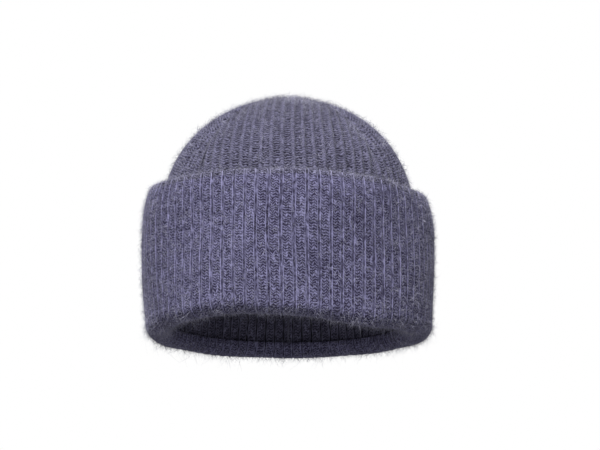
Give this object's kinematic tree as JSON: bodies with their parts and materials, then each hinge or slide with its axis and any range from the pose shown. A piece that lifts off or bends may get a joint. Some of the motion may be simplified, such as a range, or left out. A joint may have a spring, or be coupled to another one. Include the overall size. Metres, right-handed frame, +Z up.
{
  "type": "knit beanie",
  "caption": "Rib-knit beanie with a domed crown sewn from tapered gores and a deep turned-up cuff that can be turned down.",
  "frame": {"origin": "middle of the head opening, level with the lowest point of the cuff's fold, on which the hat stands", "axes": "+Z up through the crown, -Y the front of the hat, +X the wearer's left"},
  "size_m": [0.191, 0.2254, 0.1569],
  "materials": {
    "knit_crown": "matte",
    "knit_cuff": "matte",
    "seam_yarn": "matte",
    "label_satin": "satin"
  },
  "bodies": {
    "cap": {"crown_gore_front": "knit_crown", "crown_gore_left": "knit_crown", "crown_gore_right": "knit_crown", "crown_gore_back_left": "knit_crown", "crown_gore_back_right": "knit_crown", "dart_seam_front_left": "seam_yarn", "dart_seam_front_right": "seam_yarn", "dart_seam_back_left": "seam_yarn", "dart_seam_back_right": "seam_yarn", "back_seam_crown": "seam_yarn", "crown_closing_stitch": "seam_yarn", "head_band": "knit_crown", "back_seam_band": "seam_yarn", "care_label": "label_satin", "label_tacks": "seam_yarn"},
    "cuff": {"cuff_wall": "knit_cuff", "back_seam_cuff": "seam_yarn", "cuff_edge_welt": "knit_cuff", "cuff_fold": "knit_cuff"}
  },
  "joints": [
    {"name": "cuff_turn_down", "type": "slide", "parent": "cap", "child": "cuff", "axis": [0, 0, -1], "range_m": [0, 0.065]}
  ]
}
